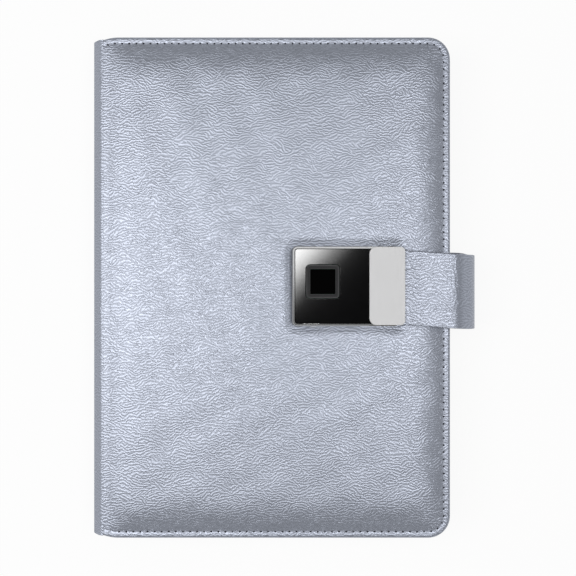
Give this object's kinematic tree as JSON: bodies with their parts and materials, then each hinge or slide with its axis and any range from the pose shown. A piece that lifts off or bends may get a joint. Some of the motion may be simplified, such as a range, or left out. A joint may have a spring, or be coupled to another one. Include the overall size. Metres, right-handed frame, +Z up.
{
  "type": "fingerprint lock notebook",
  "caption": "Padded ring notebook with a pearl leather cover, a fore-edge strap and a fingerprint lock that holds the strap's tongue.",
  "frame": {"origin": "centre of the closed notebook's footprint, on the surface that the back cover lies on", "axes": "+X from the spine to the fore-edge, +Y along the pages towards their head, +Z up through the front cover"},
  "size_m": [0.1788, 0.233, 0.04],
  "materials": {
    "pearl_leather": "pebbled synthetic leather with a pearl sheen",
    "inner_lining": "thin smooth synthetic leather",
    "foam": "soft padding foam",
    "grey_board": "dense grey board",
    "page_paper": "uncoated cream writing paper",
    "nickel_steel": "nickel plated pressed steel",
    "bright_chrome": "bright plating",
    "black_housing": "moulded black plastic",
    "black_gloss": "polished black panel",
    "bezel_grey": "dark anodised frame",
    "sensor_black": "coated sensor face",
    "board_green": "solder resist",
    "battery_foil": "foil pouch",
    "socket_steel": "drawn steel shell",
    "motor_can": "drawn steel can",
    "pinion_brass": "machined brass",
    "bolt_steel": "hardened steel",
    "satin_silver": "satin silver finish",
    "plate_steel": "brushed steel sheet",
    "screw_steel": "plated steel",
    "gasket_foam": "closed cell foam",
    "spring_steel": "tempered spring steel"
  },
  "bodies": {
    "back_cover": {"back_leather": "pearl_leather", "back_foam": "foam", "back_board": "grey_board", "back_lining": "inner_lining"},
    "spine": {"spine_leather": "pearl_leather", "spine_board": "grey_board", "spine_lining": "inner_lining", "front_hinge_leather": "pearl_leather", "front_hinge_lining": "inner_lining", "back_hinge_leather": "pearl_leather", "back_hinge_lining": "inner_lining", "ring_base": "nickel_steel", "base_rivets": "bright_chrome"},
    "front_cover": {"front_leather": "pearl_leather", "front_foam": "foam", "front_board": "grey_board", "front_lining": "inner_lining", "lock_housing": "black_housing", "lock_gasket": "gasket_foam", "chrome_rim": "bright_chrome", "touch_panel": "black_gloss", "sensor_bezel": "bezel_grey", "fingerprint_sensor": "sensor_black", "circuit_board": "board_green", "battery": "battery_foil", "usb_socket": "socket_steel", "motor": "motor_can", "silver_cap": "satin_silver", "inner_plate": "plate_steel", "plate_screws": "screw_steel"},
    "bolt": {"bolt": "bolt_steel"},
    "pinion": {"pinion": "pinion_brass"},
    "ring_lower": {"lower_blade": "nickel_steel", "lower_half_rings": "bright_chrome"},
    "ring_upper": {"upper_blade": "nickel_steel", "upper_half_rings": "bright_chrome"},
    "pages_back": {"pages_back": "page_paper"},
    "pages_front": {"pages_front": "page_paper"},
    "strap": {"strap_leather": "pearl_leather", "strap_lining": "inner_lining", "strap_core": "spring_steel"}
  },
  "joints": [
    {"name": "front_open", "type": "hinge", "parent": "spine", "child": "front_cover", "pos_m": [-0.0869, 0, 0.0305], "axis": [0, -1, 0], "range_deg": [0, 88], "deforming": ["front_hinge_leather", "front_hinge_lining"]},
    {"name": "spine_fold", "type": "hinge", "parent": "back_cover", "child": "spine", "pos_m": [-0.0869, 0, 0.0025], "axis": [0, -1, 0], "range_deg": [0, 88], "deforming": ["back_hinge_leather", "back_hinge_lining"]},
    {"name": "pages_back_turn", "type": "hinge", "parent": "spine", "child": "pages_back", "pos_m": [-0.0729, 0, 0.0165], "axis": [0, 1, 0], "range_deg": [0, 88]},
    {"name": "pages_front_turn", "type": "hinge", "parent": "spine", "child": "pages_front", "pos_m": [-0.0729, 0, 0.0165], "axis": [0, -1, 0], "range_deg": [0, 88]},
    {"name": "rings_open", "type": "hinge", "parent": "spine", "child": "ring_lower", "pos_m": [-0.08465, 0, 0.0091], "axis": [0, 1, 0], "range_deg": [0, 8]},
    {"name": "ring_upper_open", "type": "hinge", "parent": "spine", "child": "ring_upper", "pos_m": [-0.08465, 0, 0.0239], "axis": [0, -1, 0], "range_deg": [0, 8]},
    {"name": "strap_swing", "type": "hinge", "parent": "back_cover", "child": "strap", "pos_m": [0.077, 0, 0.00165], "axis": [0, 1, 0], "range_deg": [0, 57], "deforming": ["strap_leather", "strap_lining", "strap_core"]},
    {"name": "bolt_slide", "type": "slide", "parent": "front_cover", "child": "bolt", "axis": [0, 1, 0], "range_m": [0, 0.003]},
    {"name": "pinion_spin", "type": "hinge", "parent": "front_cover", "child": "pinion", "pos_m": [0.0415, 0.0109, 0.0355], "axis": [-1, 0, 0], "range_deg": [0, 107.5]}
  ],
  "couplings": [
    {"joint": "spine_fold", "follows": "front_open", "ratio": 1},
    {"joint": "pages_back_turn", "follows": "front_open", "ratio": 1},
    {"joint": "pages_front_turn", "follows": "front_open", "ratio": 1},
    {"joint": "ring_upper_open", "follows": "rings_open", "ratio": 1},
    {"joint": "pinion_spin", "follows": "bolt_slide", "rad_per_m": 625}
  ]
}
